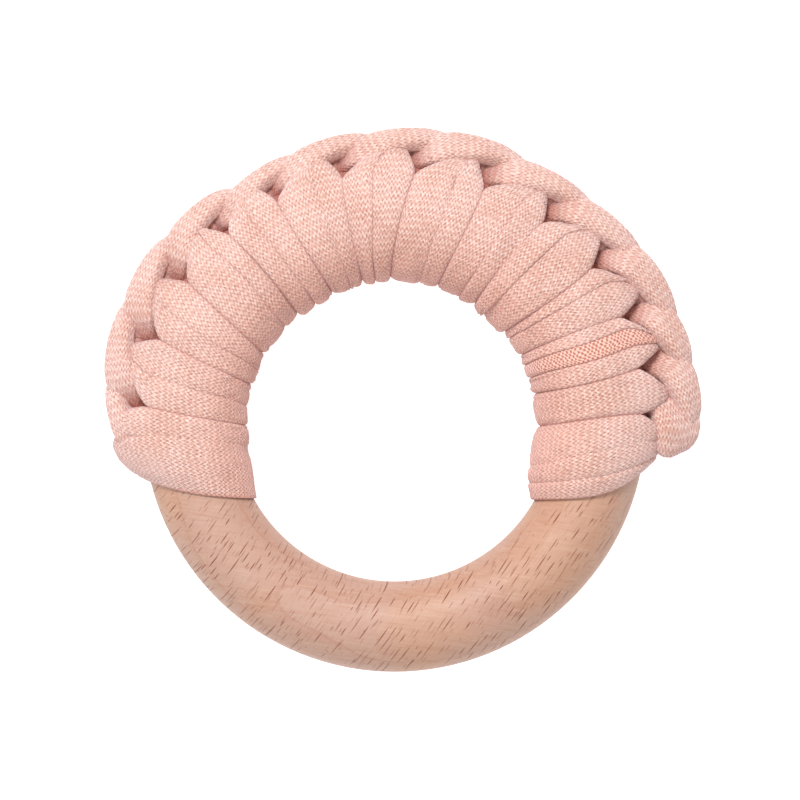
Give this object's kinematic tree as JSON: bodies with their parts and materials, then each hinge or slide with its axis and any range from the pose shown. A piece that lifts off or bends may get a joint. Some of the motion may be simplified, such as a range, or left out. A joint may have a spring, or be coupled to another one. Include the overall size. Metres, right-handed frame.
{
  "type": "teething ring",
  "caption": "Round-section beech teething ring with its upper arc covered in soft crocheted jersey yarn and a chain of stitches along the outer edge.",
  "frame": {"origin": "centre of the wooden ring, on its middle plane", "axes": "+Z along the ring's axis, towards the face that is seen; +Y from the bare wood towards the middle of the covered arc; +X towards the cover's start, where the knot is"},
  "size_m": [0.0832, 0.0756, 0.018],
  "materials": {
    "beech": "sanded, unfinished, satin",
    "jersey_yarn": "matte knitted cotton"
  },
  "bodies": {
    "ring": {"wooden_ring": "beech"},
    "cover": {"start_wrap": "jersey_yarn", "stitch_01": "jersey_yarn", "stitch_02": "jersey_yarn", "stitch_03": "jersey_yarn", "stitch_04": "jersey_yarn", "stitch_05": "jersey_yarn", "stitch_06": "jersey_yarn", "stitch_07": "jersey_yarn", "stitch_08": "jersey_yarn", "stitch_09": "jersey_yarn", "stitch_10": "jersey_yarn", "stitch_11": "jersey_yarn", "stitch_12": "jersey_yarn", "stitch_13": "jersey_yarn", "stitch_14": "jersey_yarn", "finish_wrap": "jersey_yarn", "start_knot": "jersey_yarn", "chain_link_02": "jersey_yarn", "chain_link_03": "jersey_yarn", "chain_link_04": "jersey_yarn", "chain_link_05": "jersey_yarn", "chain_link_06": "jersey_yarn", "chain_link_07": "jersey_yarn", "chain_link_08": "jersey_yarn", "chain_link_09": "jersey_yarn", "chain_link_10": "jersey_yarn", "chain_link_11": "jersey_yarn", "chain_link_12": "jersey_yarn", "chain_link_13": "jersey_yarn", "chain_link_14": "jersey_yarn"}
  },
  "joints": [
    {"name": "cover_turn", "type": "hinge", "parent": "ring", "child": "cover", "pos_m": [0, 0, 0], "axis": [0, 0, 1], "continuous": true}
  ]
}
